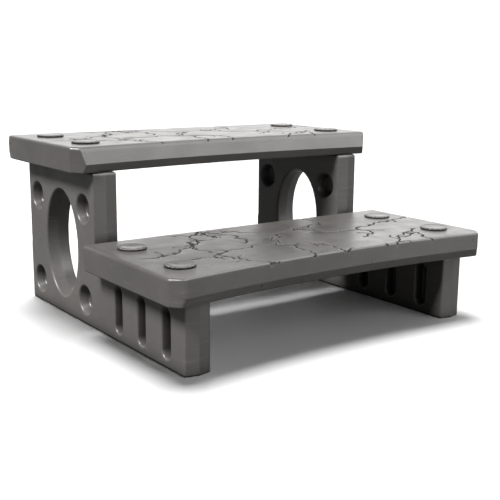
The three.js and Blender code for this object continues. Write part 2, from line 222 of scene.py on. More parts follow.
def surface_net(field, low, high, step):
    """Points and quads of the field's zero surface: one point per crossed cell, pulled onto the surface."""
    axes = [np.arange(a - 2 * step, b + 2.5 * step, step) for a, b in zip(low, high)]
    grid = np.stack(np.meshgrid(*axes, indexing="ij"), -1)
    value = field(grid)
    inside = value < 0
    shape = np.array(value.shape) - 1
    total = np.zeros((*shape, 3))
    count = np.zeros(shape)
    for axis in range(3):
        here = [slice(None)] * 3
        there = [slice(None)] * 3
        here[axis], there[axis] = slice(0, -1), slice(1, None)
        v0, v1 = value[tuple(here)], value[tuple(there)]
        crossed = inside[tuple(here)] != inside[tuple(there)]
        share = np.where(crossed, v0 / np.where(crossed, v0 - v1, 1), 0)
        place = grid[tuple(here)].copy()
        place[..., axis] += share * step
        others = [k for k in range(3) if k != axis]
        for du in (0, 1):
            for dv in (0, 1):
                cut = [slice(None)] * 3
                cut[others[0]] = slice(du, du + shape[others[0]])
                cut[others[1]] = slice(dv, dv + shape[others[1]])
                total += place[tuple(cut)] * crossed[tuple(cut)][..., None]
                count += crossed[tuple(cut)]
    active = count > 0
    index = np.full(shape, -1)
    index[active] = np.arange(active.sum())
    points = total[active] / count[active][:, None]
    quads = []
    for axis in range(3):
        b, c = (axis + 1) % 3, (axis + 2) % 3
        here = [slice(1, -1)] * 3
        there = [slice(1, -1)] * 3
        here[axis], there[axis] = slice(0, -1), slice(1, None)
        s0, s1 = inside[tuple(here)], inside[tuple(there)]
        for flip in (False, True):
            found = np.argwhere((s0 & ~s1) if not flip else (~s0 & s1))
            found[:, b] += 1
            found[:, c] += 1
            corners = []
            for db, dc in ((1, 1), (0, 1), (0, 0), (1, 0)):
                cell = found.copy()
                cell[:, b] -= db
                cell[:, c] -= dc
                corners.append(index[tuple(cell.T)])
            quad = np.stack(corners[::-1] if flip else corners, 1)
            quads.append(quad)
    for _ in range(SURFACE_PULLS):
        slope = gradient(field, points)
        points = points - field(points)[:, None] * slope / (slope ** 2).sum(1)[:, None]
    return points, np.concatenate(quads)


def gradient(field, points, reach=0.15):
    """The field's slope at each point, by central differences."""
    steps = np.eye(3) * reach
    return np.stack([(field(points + s) - field(points - s)) / (2 * reach) for s in steps], 1)


def build_panels():
    """Both side panels, from one surface that is placed twice."""
    look = panel_material()
    low = (-PANEL_HALF, BLOCK_FRONT - DRAFT, 0)
    high = (PANEL_HALF, BLOCK_REAR + DRAFT, TALL_TOP)
    points, quads = surface_net(panel_field, low, high, GRID_STEP)
    slope = gradient(panel_field, points)
    normals = slope / np.linalg.norm(slope, axis=1)[:, None]
    for name, x in (("side_panel_left", PANEL_X), ("side_panel_right", -PANEL_X)):
        placed = points + (x, FRONT_Y, 0)
        piece = make_object(name + "_moulding", placed, quads, normals)
        finish_piece(piece, name, look)


# ================================================================ treads
def arc_corner(before, corner, after, radius, count):
    """Points of a rounded corner in a plane, from one leg to the other."""
    corner, before, after = (np.asarray(v, float) for v in (corner, before, after))
    a = (before - corner) / np.linalg.norm(before - corner)
    b = (after - corner) / np.linalg.norm(after - corner)
    half = math.acos(max(-1, min(1, float(a @ b)))) / 2
    leg = radius / math.tan(half)
    start, end = corner + a * leg, corner + b * leg
    centre = corner + (a + b) / np.linalg.norm(a + b) * radius / math.sin(half)
    first = math.atan2(*(start - centre)[::-1])
    turn = (math.atan2(*(end - centre)[::-1]) - first + math.pi) % (2 * math.pi) - math.pi
    angles = first + turn * np.linspace(0, 1, count)
    return centre + radius * np.stack([np.cos(angles), np.sin(angles)], 1)


def edge_profile(undercut, crease_height, top_lean, top_round):
    """(inset, height) pairs up a tread's edge, from its underside to its top."""
    bottom, crease, top = (undercut, 0), (0, crease_height), (top_lean, THICKNESS)
    inner_low, inner_high = (INNER_REACH, 0), (INNER_REACH, THICKNESS)
    foot = arc_corner(inner_low, bottom, crease, EDGE_FOOT_ROUND, CORNER_ROWS)
    ridge = arc_corner(bottom, crease, top, CREASE_ROUND, CORNER_ROWS)
    shoulder = arc_corner(crease, top, inner_high, top_round, SHOULDER_ROWS)
    return np.concatenate([
        foot[:1] + (RIM_IN_LOW, 0), foot, flat_rows(foot, ridge), ridge,
        flat_rows(ridge, shoulder), shoulder, shoulder[-1:] + (RIM_IN_HIGH, 0),
    ])


def end_profile():
    """The same for a tread's two ends, which have no crease, in as many rows."""
    bottom, top = (END_DRAFT, 0), (0, THICKNESS)
    foot = arc_corner((INNER_REACH, 0), bottom, top, EDGE_FOOT_ROUND, CORNER_ROWS)
    shoulder = arc_corner(bottom, top, (INNER_REACH, THICKNESS), END_TOP_ROUND, SHOULDER_ROWS)
    flat = flat_rows(foot, shoulder, np.linspace(0.02, 0.98, 2 * len(FLAT_SHARES) + CORNER_ROWS))
    return np.concatenate([
        foot[:1] + (RIM_IN_LOW, 0), foot, flat, shoulder, shoulder[-1:] + (RIM_IN_HIGH, 0),
    ])


def flat_rows(below, above, shares=FLAT_SHARES):
    """Rows on the flat between two rounded corners, at the shares given."""
    shares = np.array(shares)[:, None]
    return below[-1] * (1 - shares) + above[0] * shares


def tread_ring(side, front, rear, corner_round):
    """A tread's outline from above, inset by its own amount at the ends, the hollowed front and the rear.

    Each input is an (inset, height) pair, and the ring comes back as 3-D points, counter-clockwise.
    """
    half = HALF_WIDTH
    bend = math.sqrt(2)
    end, nose, back = side[0], front[0], TREAD_DEPTH - rear[0]
    facet_side = np.array([-half + end, CORNER + end * (bend - 1)])
    facet_front = np.array([-half + CORNER + end * bend - nose, nose])
    xs = np.linspace(facet_front[0], -facet_front[0], FRONT_COUNT)
    sag = FRONT_SAG * (1 - (xs / (half - CORNER)) ** 2)
    curve = np.stack([xs, nose + sag - sag[0]], 1)
    left = arc_corner(facet_side, facet_front, curve[FRONT_LEAD], corner_round, CORNER_ROWS)
    right = left[::-1] * (-1, 1)
    keep = curve[(curve[:, 0] > left[-1][0] + 1) & (curve[:, 0] < right[0][0] - 1)]
    keep = resample(np.concatenate([left[-1:], keep, right[:1]]), FRONT_COUNT)[1:-1]
    middle = TREAD_DEPTH / 2
    side_left = arc_corner((-half + end, middle), facet_side, facet_front, corner_round, CORNER_ROWS)
    side_right = side_left[::-1] * (-1, 1)
    corner_rear = (half - end, back)
    turn = arc_corner((half - end, middle), corner_rear, (0, back), REAR_ROUND, REAR_CORNER_COUNT)
    turn_left = turn[::-1] * (-1, 1)
    fade = np.linspace(1, 0, FACET_COUNT + 2)[1:-1]
    front_z, side_z, rear_z = front[1], side[1], rear[1]
    facet_z = side_z + (front_z - side_z) * fade
    turn_z = np.linspace(side_z, rear_z, len(turn))
    runs = [
        (left, front_z), (keep, front_z), (right, front_z),
        (between(right[-1], side_right[0], FACET_COUNT), facet_z),
        (side_right, side_z), (between(side_right[-1], turn[0], SIDE_COUNT), side_z),
        (turn, turn_z), (between(turn[-1], turn_left[0], REAR_COUNT), rear_z),
        (turn_left, turn_z[::-1]), (between(turn_left[-1], side_left[0], SIDE_COUNT), side_z),
        (side_left, side_z), (between(side_left[-1], left[0], FACET_COUNT), facet_z[::-1]),
    ]
    return np.concatenate([at_height(run, z) for run, z in runs])


def between(a, b, count):
    """Points strictly between two ends."""
    share = np.linspace(0, 1, count + 2)[1:-1, None]
    return np.asarray(a) * (1 - share) + np.asarray(b) * share


def resample(points, count):
    """The same line in evenly spaced points."""
    length = np.concatenate([[0], np.cumsum(np.linalg.norm(np.diff(points, axis=0), axis=1))])
    at = np.linspace(0, length[-1], count)
    return np.stack([np.interp(at, length, points[:, k]) for k in range(2)], 1)


# The joints between the moulded stones, as (across, back) shares of a tread: -1 to 1 and 0 to 1.
STONE_JOINTS = [
    [(-0.90, 0.50), (-0.80, 0.50), (-0.72, 0.50), (-0.62, 0.60), (-0.52, 0.74), (-0.43, 0.88), (-0.34, 1.05)],
    [(-0.43, 0.88), (-0.30, 0.93), (-0.34, 0.78), (-0.22, 0.78), (-0.30, 0.55)],
    [(-0.30, 0.93), (-0.20, 0.87), (-0.08, 0.76), (-0.02, 0.58)],
    [(-0.47, 0.80), (-0.47, 0.70), (-0.58, 0.55), (-0.55, 0.44)],
    [(-0.73, 0.35), (-0.60, 0.32), (-0.51, 0.40), (-0.54, 0.24), (-0.47, 0.14), (-0.44, -0.05)],
    [(-0.51, 0.40), (-0.40, 0.42), (-0.28, 0.47), (-0.17, 0.40), (-0.02, 0.58), (0.15, 0.70)],
    [(0.15, 0.70), (0.29, 0.75), (0.42, 0.85), (0.46, 1.05)],
    [(-0.17, 0.40), (-0.04, 0.37), (-0.15, 0.10), (-0.17, -0.05)],
    [(-0.04, 0.37), (0.05, 0.31), (0.02, 0.10), (0.04, -0.05)],
    [
        (0.15, 0.70), (0.22, 0.62), (0.29, 0.54), (0.42, 0.50),
        (0.62, 0.58), (0.77, 0.60), (0.92, 0.64), (1.05, 0.66),
    ],
    [(0.34, 0.30), (0.48, 0.44), (0.46, 0.51)],
    [(0.27, -0.05), (0.31, 0.08), (0.50, 0.20), (0.62, 0.27), (0.74, 0.33)],
    [(0.50, 0.20), (0.68, 0.22), (0.61, 0.12), (0.64, -0.05)],
]
STONE_SEED = 7
JAG_ROUNDS = 4
JOINT_ROUGHNESS, CHIP_ROUGHNESS = 0.26, 0.22
CHIP_SPACING = 16  # points of a joint for each chip that branches off it
CHIP_REACH = (14, 42)
CHIP_TURN = 0.9
JOINT_SPACING = 3.0
JOINT_DEPTH = 2.6
JOINT_HALF_WIDTH = 2.0
WIDTH_WANDER, WANDER_SIZE = 0.7, 16.0  # how much a joint's width varies, and over what length
CHIP_DEPTH, CHIP_WIDTH = 0.7, 0.8  # as shares of a joint's
WORN_DEPTH, WORN_REACH = 0.35, 5.0  # how the stones are worn down beside a joint
SWELL_DEPTH, SWELL_LEVEL, SWELL_SIZE = 0.5, 0.6, (90.0, 60.0)
CALM_MARGIN, CALM_RUN = 8.0, 30.0  # the swells die out towards the tread's edges
JOINT_OFFSETS = (1.0, 2.2, 5.0)  # rows of points on each side of a joint
STONE_GRID = 9.0
GRID_JITTER = 0.25
LEAST_SPACING = 0.8
RIM_CLEARANCE = 1.2
HOLE_CLEARANCE = 2.0
LINE_NEAR = 12.0  # how far around a line its distance is worked out
FAR = 1e9
SHOULDER_REACH = 6.0  # the pattern fades out over this height at the edges


def jagged(line, rng, roughness):
    """A line broken into short uneven steps, like split stone."""
    points = [np.array(p, float) for p in line]
    for _ in range(JAG_ROUNDS):
        finer = [points[0]]
        for a, b in zip(points, points[1:]):
            run = b - a
            aside = np.array([-run[1], run[0]]) * rng.uniform(-1, 1) * roughness
            finer += [a + run * rng.uniform(0.38, 0.62) + aside, b]
        points = finer
    return np.array(points)


def stone_lines():
    """The joints of a tread in millimetres, and the small chips that branch off them."""
    rng = random.Random(STONE_SEED)
    size = np.array([HALF_WIDTH, TREAD_DEPTH])
    lines = [jagged(np.array(joint) * size, rng, JOINT_ROUGHNESS) for joint in STONE_JOINTS]
    chips = []
    for line in lines:
        for _ in range(max(2, len(line) // CHIP_SPACING)):
            at = rng.randrange(4, len(line) - 4)
            heading = rng.uniform(0, 2 * math.pi)
            reach = rng.uniform(*CHIP_REACH)
            turn = rng.uniform(-CHIP_TURN, CHIP_TURN)
            mid = line[at] + 0.5 * reach * np.array([math.cos(heading), math.sin(heading)])
            end = mid + 0.5 * reach * np.array([math.cos(heading + turn), math.sin(heading + turn)])
            chips.append(jagged([line[at], mid, end], rng, CHIP_ROUGHNESS))
    return lines, chips


def line_distance(points, lines):
    """Distance from each point to the nearest of the lines, or FAR where none is near."""
    nearest = np.full(len(points), FAR)
    for line in lines:
        for a, b in zip(line, line[1:]):
            run = b - a
            near = np.abs(points - (a + b) / 2).max(1) < LINE_NEAR + np.abs(run).max()
            if not near.any():
                continue
            q = points[near]
            share = np.clip((q - a) @ run / max(run @ run, 1e-9), 0, 1)
            reach = np.linalg.norm(q - (a + share[:, None] * run), axis=1)
            nearest[near] = np.minimum(nearest[near], reach)
    return nearest


def stone_height(points, joints, chips):
    """How far the stone surface lies below a flat top, and how deep in a joint each point is."""
    to_joint = line_distance(points, joints)
    to_chip = line_distance(points, chips)
    wander = [noise.noise(Vector((x / WANDER_SIZE, y / WANDER_SIZE, STONE_SEED))) for x, y in points]
    half_width = JOINT_HALF_WIDTH * (1 + WIDTH_WANDER * np.array(wander))
    groove = np.clip(1 - (to_joint / half_width) ** 2, 0, 1)
    chip = np.clip(1 - (to_chip / (CHIP_WIDTH * half_width)) ** 2, 0, 1)
    groove = np.maximum(groove, CHIP_DEPTH * chip)
    worn = WORN_DEPTH * np.exp(-((to_joint / WORN_REACH) ** 2))
    swell = np.array([
        noise.fractal(Vector((x / SWELL_SIZE[0], y / SWELL_SIZE[1], STONE_SEED)), 1.0, 2.0, 3)
        for x, y in points
    ])
    edge = np.minimum.reduce([
        HALF_WIDTH - np.abs(points[:, 0]),
        points[:, 1] - FRONT_SAG * (1 - (points[:, 0] / HALF_WIDTH) ** 2),
        TREAD_DEPTH - points[:, 1],
    ])
    calm = np.clip((edge - CALM_MARGIN) / CALM_RUN, 0, 1)
    sunk = SWELL_DEPTH * calm * (SWELL_LEVEL - swell).clip(0, 2)
    return JOINT_DEPTH * groove + worn + sunk, groove


def fill_plane(loops, inner_points, inner_edges):
    """Triangles inside the first closed loop and outside the others, through the inner points and edges.

    The points come back with the loops' own points first, in order.
    """
    points, edges = [], []
    for loop in loops:
        start = len(points)
        points += [tuple(p) for p in loop]
        edges += [(start + i, start + (i + 1) % len(loop)) for i in range(len(loop))]
    start = len(points)
    points += [tuple(p) for p in inner_points]
    edges += [(start + a, start + b) for a, b in inner_edges]
    made, _, faces, origins, _, _ = delaunay_2d_cdt([Vector(p) for p in points], edges, [], 0, 1e-4)
    index = []
    for place, origin in zip(made, origins):
        if not origin:
            points.append(tuple(place))
        index.append(origin[0] if origin else len(points) - 1)
    points = np.array(points)
    faces = np.array(index)[np.array([tuple(f) for f in faces if len(f) == 3])]
    middle = points[faces].mean(1)
    keep = inside_loop(middle, loops[0])
    for loop in loops[1:]:
        keep &= ~inside_loop(middle, loop)
    return points, faces[keep]


def inside_loop(points, loop):
    """Which points lie inside a closed loop."""
    inside = np.zeros(len(points), bool)
    for a, b in zip(loop, np.roll(loop, -1, 0)):
        if a[1] == b[1]:
            continue
        spans = (points[:, 1] > min(a[1], b[1])) & (points[:, 1] <= max(a[1], b[1]))
        crossing = a[0] + (points[:, 1] - a[1]) * (b[0] - a[0]) / (b[1] - a[1])
        inside ^= spans & (points[:, 0] < crossing)
    return inside


def joint_samples(joints, chips, ring, holes):
    """Points and edges that let a tread's top follow its joints, and a loose grid over the stones between."""
    points, edges = [], []
    lines = [resample(line, max(3, int(path_length(line) / JOINT_SPACING))) for line in joints + chips]
    rim = np.concatenate([ring, ring[:1]])
    for line in lines:
        room = inside_loop(line, ring) & (line_distance(line, [rim]) > RIM_CLEARANCE)
        for hole in holes:
            room &= np.linalg.norm(line - hole, axis=1) > SHANK_HOLE + HOLE_CLEARANCE
        places = np.flatnonzero(room)
        start = len(points)
        points += list(line[places])
        steps = np.flatnonzero(np.diff(places) == 1)
        edges += [(start + i, start + i + 1) for i in steps]
    beside, reaches = [], []
    for line in lines:
        run = np.gradient(line, axis=0)
        aside = np.stack([-run[:, 1], run[:, 0]], 1) / (np.linalg.norm(run, axis=1)[:, None] + 1e-9)
        for reach in JOINT_OFFSETS:
            beside += [line + reach * aside, line - reach * aside]
            reaches += [reach] * 2 * len(line)
    beside = np.concatenate(beside)
    beside = beside[line_distance(beside, lines) > 0.85 * np.array(reaches)]
    rng = np.random.default_rng(STONE_SEED)
    grid = np.stack(np.meshgrid(
        np.arange(-HALF_WIDTH + STONE_GRID, HALF_WIDTH - STONE_GRID + 1, STONE_GRID),
        np.arange(STONE_GRID, TREAD_DEPTH - STONE_GRID + 1, STONE_GRID),
    ), -1).reshape(-1, 2)
    grid = grid + rng.uniform(-GRID_JITTER, GRID_JITTER, grid.shape) * STONE_GRID
    grid = grid[line_distance(grid, lines) > JOINT_OFFSETS[-1] + 2]
    loose = np.concatenate([beside, grid])
    loose = loose[inside_loop(loose, ring) & (line_distance(loose, [rim]) > RIM_CLEARANCE)]
    for hole in holes:
        loose = loose[np.linalg.norm(loose - hole, axis=1) > SHANK_HOLE + HOLE_CLEARANCE]
    _, first = np.unique(np.round(loose / LEAST_SPACING).astype(int), axis=0, return_index=True)
    loose = loose[np.sort(first)]
    return np.concatenate([np.array(points), loose]), edges


def path_length(line):
    return np.linalg.norm(np.diff(line, axis=0), axis=1).sum()


def circle(centre, radius, count):
    angles = np.linspace(0, 2 * math.pi, count, endpoint=False)
    return np.asarray(centre) + radius * np.stack([np.cos(angles), np.sin(angles)], 1)


def at_height(points, z):
    """Plan points with a height, or with one height each."""
    return np.column_stack([points, np.broadcast_to(z, len(points))])


def strip(rings):
    """Quads between rings that have the same number of points, as (points, faces)."""
    count = len(rings[0])
    faces = []
    for row in range(len(rings) - 1):
        low, high = row * count, (row + 1) * count
        for i in range(count):
            j = (i + 1) % count
            faces.append((low + i, low + j, high + j, high + i))
    return np.concatenate(rings), faces


def weld(parts):
    """One set of points and faces from several, with points that lie together made one."""
    points, faces = [], []
    for part_points, part_faces in parts:
        start = sum(len(p) for p in points)
        points.append(np.asarray(part_points, float))
        faces += [tuple(int(i) + start for i in face) for face in part_faces]
    joined = np.concatenate(points)
    used = np.unique(np.concatenate([np.array(face) for face in faces]))
    _, first, same = np.unique(np.round(joined[used], 3), axis=0, return_index=True, return_inverse=True)
    target = np.full(len(joined), -1)
    target[used] = same.reshape(-1)
    welded = []
    for face in faces:
        corners = [int(target[i]) for i in face]
        corners = [c for k, c in enumerate(corners) if c != corners[k - 1]]
        if len(set(corners)) > 2:
            welded.append(tuple(corners))
    return joined[used][first], welded


def tread_shell(front_lean, front_round, corner_round):
    """The outer skin of a tread, front edge at y = 0 and underside at z = 0, and its groove values."""
    rings = [
        tread_ring(side, front, rear, corner_round)
        for side, front, rear in zip(
            end_profile(),
            edge_profile(FRONT_UNDERCUT, FRONT_CREASE, front_lean, front_round),
            edge_profile(REAR_UNDERCUT, REAR_CREASE, REAR_LEAN, REAR_TOP_ROUND),
        )
    ]
    screw_places = [(x, y) for x in (-SCREW_X, SCREW_X) for y in SCREW_ROWS]
    joints, chips = stone_lines()
    top_ring = rings[-1][:, :2]
    inner, inner_edges = joint_samples(joints, chips, top_ring, screw_places)
    holes = [circle(place, SHANK_HOLE, SHANK_HOLE_SIDES) for place in screw_places]
    top_points, top_faces = fill_plane([top_ring] + holes, inner, inner_edges)
    mouths = [circle(place, CONE_MOUTH + CONE_LIP, CONE_SIDES) for place in CONES]
    vent = circle((0, TREAD_DEPTH / 2), VENT_RADIUS, VENT_SIDES)
    low_loops = [rings[0][:, :2]] + holes + mouths + [vent]
    low_points, low_faces = fill_plane(low_loops, underside_grid(), [])
    parts = [
        strip(rings),
        (at_height(top_points, THICKNESS), top_faces),
        (at_height(low_points, 0), [face[::-1] for face in low_faces]),
    ]
    for hole in holes:
        parts.append(strip([at_height(hole, z) for z in np.linspace(THICKNESS, 0, 6)]))
    for place in CONES:
        parts.append(blind_cone(place))
    parts.append(strip([at_height(vent, z) for z in (VENT_DEPTH, VENT_DEPTH / 2, 0)]))
    parts.append((at_height(vent, VENT_DEPTH), [tuple(range(len(vent)))[::-1]]))
    points, faces = weld(parts)
    drop, groove = stone_height(points[:, :2], joints, chips)
    near_top = np.clip((points[:, 2] - (THICKNESS - SHOULDER_REACH)) / SHOULDER_REACH, 0, 1)
    points[:, 2] -= drop * near_top
    return points, faces, groove * near_top


def underside_grid():
    """Loose points that break up a tread's flat underside."""
    xs, ys = np.meshgrid(np.linspace(-350, 350, 29), np.linspace(60, 320, 12))
    grid = np.stack([xs, ys], -1).reshape(-1, 2)
    clear = np.ones(len(grid), bool)
    for place in CONES:
        clear &= np.linalg.norm(grid - place, axis=1) > CONE_MOUTH + 5
    for x in (-SCREW_X, SCREW_X):
        for y in SCREW_ROWS:
            clear &= np.linalg.norm(grid - (x, y), axis=1) > SHANK_HOLE + 4
    clear &= np.linalg.norm(grid - (0, TREAD_DEPTH / 2), axis=1) > VENT_RADIUS + 3
    return grid[clear]


def blind_cone(place):
    """A bracing cone pressed up from a tread's underside, rounded at its mouth and tip."""
    top = THICKNESS - CONE_SKIN
    profile = [
        (CONE_MOUTH + CONE_LIP, 0), (CONE_MOUTH + 0.6, 0.5), (CONE_MOUTH - 0.6, 2.2),
        ((CONE_MOUTH + CONE_TIP) / 2, top / 2), (CONE_TIP + 0.8, top - 3), (CONE_TIP - 1, top - 0.7),
        (CONE_TIP - 3, top),
    ]
    rings = [at_height(circle(place, radius, CONE_SIDES), z) for radius, z in profile]
    points, faces = strip(rings[::-1])
    return points, faces + [tuple(range(CONE_SIDES))[::-1]]


def build_tread(level, front_place, look):
    """A tread with its stone pattern, and its grooves stored for the material to darken."""
    points, faces, groove = tread_shell(*FRONT_EDGES[level])
    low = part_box(level + "_tread")[0].z / MM
    piece = make_object(level + "_tread_moulding", points + (0, front_place, low), faces)
    add_attribute(piece, "groove", groove)
    finish_piece(piece, level + "_tread", look)


# ================================================================ screws
HEAD_PROFILE = [  # radius, height above the bearing face, share of the rim's notches
    (27.3, 0.0, 0.6), (28.3, 0.7, 1), (28.5, 1.9, 1), (28.3, 3.1, 1), (27.4, 4.0, 1), (26.0, 4.45, 0.8),
    (24.6, 4.3, 0.3), (23.8, 3.6, 0), (23.0, 3.3, 0), (22.2, 3.6, 0), (21.2, 3.95, 0), (19.0, 3.75, 0),
    (14.0, 3.3, 0), (8.0, 2.95, 0), (3.0, 2.85, 0),
]
HEAD_TOP = 4.5  # how far a head stands above its bearing face
HEAD_SIDES = 128
NOTCHES = 16
NOTCH_DEPTH = 1.9
SHANK = 11.0
SHANK_CLEARANCE = 0.2
FILLET = 0.6  # where the shank meets the head
THREAD_PITCH = 4.0
THREAD_DEPTH = 1.1
THREAD_LENGTH = 16.0
TIP_TAPER, TAPER_LENGTH = 1.2, 2.0
SHANK_LENGTH = 64.3
PLAIN_ROWS = (-40.0, -20.0, -2.0)  # heights of the shank's rings above the thread
TURN_SEED = 3


def build_screws():
    """Eight screws that share one turned head and thread, each turned to its own angle."""
    mesh = None
    look = screw_material()
    rng = random.Random(TURN_SEED)
    for level in ("lower", "upper"):
        for row in ("front", "rear"):
            for side in ("left", "right"):
                node = f"{level}_screw_{row}_{side}"
                low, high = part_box(node)
                if mesh is None:
                    piece = screw_object(node + "_turned")
                    mesh = piece.data
                else:
                    piece = bpy.data.objects.new(node + "_turned", mesh)
                    bpy.context.scene.collection.objects.link(piece)
                piece.location = ((low.x + high.x) / 2, (low.y + high.y) / 2, high.z - HEAD_TOP * MM)
                piece.rotation_euler.z = rng.uniform(0, 2 * math.pi)
                finish_piece(piece, node, look)


def screw_object(name):
    """One screw, head up, with its bearing face at z = 0: notched rim, dished middle, thread at the tip."""
    angles = np.linspace(0, 2 * math.pi, HEAD_SIDES, endpoint=False)
    notch = np.clip(np.cos(NOTCHES * angles) * 1.6 - 0.5, 0, 1)
    rings = []
    thread_rows = np.arange(-SHANK_LENGTH, -SHANK_LENGTH + THREAD_LENGTH + 2, 1.0)
    for z in np.concatenate([thread_rows, PLAIN_ROWS]):
        turn = (z / THREAD_PITCH - angles / (2 * math.pi)) % 1
        threaded = z < -SHANK_LENGTH + THREAD_LENGTH
        cut = THREAD_DEPTH * np.clip(1.6 * np.abs(2 * turn - 1) - 0.3, 0, 1) * threaded
        taper = TIP_TAPER * np.clip(1 - (z + SHANK_LENGTH) / TAPER_LENGTH, 0, 1)
        rings.append(around(angles, SHANK - SHANK_CLEARANCE - cut - taper, z))
    rings.append(around(angles, SHANK + FILLET, 0.0))
    for radius, z, share in HEAD_PROFILE:
        rings.append(around(angles, radius - NOTCH_DEPTH * notch * share, z))
    points, faces = strip(rings)
    count = len(angles)
    last = len(points) - count
    points = np.concatenate([points, [(0, 0, HEAD_PROFILE[-1][1]), (0, 0, -SHANK_LENGTH)]])
    for i in range(count):
        j = (i + 1) % count
        faces.append((last + i, last + j, len(points) - 2))
        faces.append((j, i, len(points) - 1))
    return make_object(name, points, faces)


def around(angles, radius, z):
    """A ring of points, with one radius or with one each."""
    return at_height(np.column_stack([radius * np.cos(angles), radius * np.sin(angles)]), float(z))


# ================================================================ materials
def add_node(tree, kind, settings=None, inputs=None):
    """A node with its properties set, and its inputs given a value or linked to an output."""
    made = tree.nodes.new(kind)
    for key, value in (settings or {}).items():
        setattr(made, key, value)
    for key, value in (inputs or {}).items():
        if isinstance(value, bpy.types.NodeSocket):
            tree.links.new(value, made.inputs[key])
        else:
            made.inputs[key].default_value = value
    return made


def noise_node(tree, where, scale, detail=2.0, roughness=0.5):
    """Noise from 0 to 1, with the scale in cells per metre."""
    inputs = {"Vector": where, "Scale": scale, "Detail": detail, "Roughness": roughness}
    return add_node(tree, "ShaderNodeTexNoise", {}, inputs).outputs[0]


def spread(tree, value, low, high, to_low=0.0, to_high=1.0):
    """The value with low..high stretched to to_low..to_high, and held there beyond."""
    inputs = {"Value": value, "From Min": low, "From Max": high, "To Min": to_low, "To Max": to_high}
    return add_node(tree, "ShaderNodeMapRange", {"clamp": True}, inputs).outputs[0]


def blend_colours(tree, share, first, second):
    """The first colour where the share is 0, the second where it is 1."""
    made = tree.nodes.new("ShaderNodeMix")
    made.data_type = "RGBA"
    for index, value in ((0, share), (6, first), (7, second)):
        if isinstance(value, bpy.types.NodeSocket):
            tree.links.new(value, made.inputs[index])
        else:
            made.inputs[index].default_value = value
    return made.outputs[2]


def multiply(tree, a, b):
    return add_node(tree, "ShaderNodeMath", {"operation": "MULTIPLY"}, {0: a, 1: b}).outputs[0]


def grey(value, warmth=0.055):
    """A slightly warm grey, from its linear value."""
    return (value * (1 + warmth), value, value * (1 - warmth), 1)


OCCLUSION_REACH = 0.045  # how near another surface must be for painted shade to gather in the colour
# Each plastic: its body's linear grey, its roughness, and the height of its grain and of its ripples
PANEL_PLASTIC = (0.10, 0.34, 0.00012, 0.0006)
TREAD_PLASTIC = (0.083, 0.33, 0.00012, 0.0006)
SCREW_PLASTIC = (0.085, 0.3, 0.00005, 0.0001)
BUSHING_NYLON = (0.03, 0.5, 0.0001, 0.0002)
# The first grey paints pale chips and a highlight along the joints' lips, the second darkens the joints near
# to black, and the last is the roughness in the joints.
CHIP_AND_HIGHLIGHT_GREY, JOINT_DARK_GREY, JOINT_DARK_ROUGHNESS = 0.4, 0.006, 0.95


def plastic(name, body, gloss, grain, wave):
    """Moulded plastic: clouded colour, scuffs, a fine grain, pale edges that are partly wear and partly a
    painted highlight, and painted shade in creases and in sheltered places.

    Gives the material, its node tree, and the outputs that its colour and roughness come from.
    """
    material = bpy.data.materials.new(name)
    material.use_nodes = True
    tree = material.node_tree
    shader = tree.nodes["Principled BSDF"]
    where = tree.nodes.new("ShaderNodeTexCoord").outputs["Object"]
    cloud = noise_node(tree, where, 5.0, 3.0)
    speck = noise_node(tree, where, 420.0, 2.0)
    colour = blend_colours(tree, spread(tree, cloud, 0.3, 0.7), grey(body * 0.82), grey(body * 1.18))
    colour = blend_colours(tree, spread(tree, speck, 0.35, 0.7, 0, 0.35), colour, grey(body * 0.7))
    stretched = add_node(tree, "ShaderNodeMapping", {}, {"Vector": where, "Scale": (9, 30, 150)})
    scuff = spread(tree, noise_node(tree, stretched.outputs[0], 1.0, 4.0, 0.65), 0.58, 0.75)
    colour = blend_colours(tree, multiply(tree, scuff, 0.45), colour, grey(body * 1.7))
    # Convex edges are painted paler: partly wear, partly a painted highlight.
    edge = tree.nodes.new("ShaderNodeNewGeometry").outputs["Pointiness"]
    patchy = spread(tree, noise_node(tree, where, 60.0, 3.0), 0.35, 0.65)
    wear_and_highlight = multiply(tree, spread(tree, edge, 0.52, 0.6), patchy)
    colour = blend_colours(tree, multiply(tree, wear_and_highlight, 0.3), colour, grey(body * 1.8))
    # Concave creases are painted darker: painted shade.
    crease_shade = spread(tree, edge, 0.49, 0.42)
    colour = blend_colours(tree, multiply(tree, crease_shade, 0.5), colour, grey(body * 0.45, 0.08))
    # Places that nearby surfaces shelter are painted near black: painted shade, standing in for occlusion.
    occlusion = add_node(tree, "ShaderNodeAmbientOcclusion", {"samples": 6}, {"Distance": OCCLUSION_REACH})
    occlusion_shade = spread(tree, occlusion.outputs["AO"], 0.74, 0.4)
    colour = blend_colours(tree, multiply(tree, occlusion_shade, 0.92), colour, grey(body * 0.1, 0.12))
    rough = spread(tree, noise_node(tree, where, 22.0, 4.0), 0.3, 0.7, gloss - 0.06, gloss + 0.08)
    leather = noise_node(tree, where, 760.0, 2.0, 0.6)
    ripple = noise_node(tree, where, 16.0, 2.0)
    coarse = add_node(tree, "ShaderNodeBump", {}, {"Height": ripple, "Strength": 1.0, "Distance": wave})
    fine = add_node(tree, "ShaderNodeBump", {}, {
        "Height": leather, "Strength": 1.0, "Distance": grain, "Normal": coarse.outputs[0],
    })
    tree.links.new(colour, shader.inputs["Base Color"])
    tree.links.new(rough, shader.inputs["Roughness"])
    tree.links.new(fine.outputs[0], shader.inputs["Normal"])
    return material, tree, colour, rough


def panel_material():
    return plastic("panel_plastic", *PANEL_PLASTIC)[0]


def bushing_material():
    return plastic("bushing_nylon", *BUSHING_NYLON)[0]


def screw_material():
    return plastic("screw_plastic", *SCREW_PLASTIC)[0]


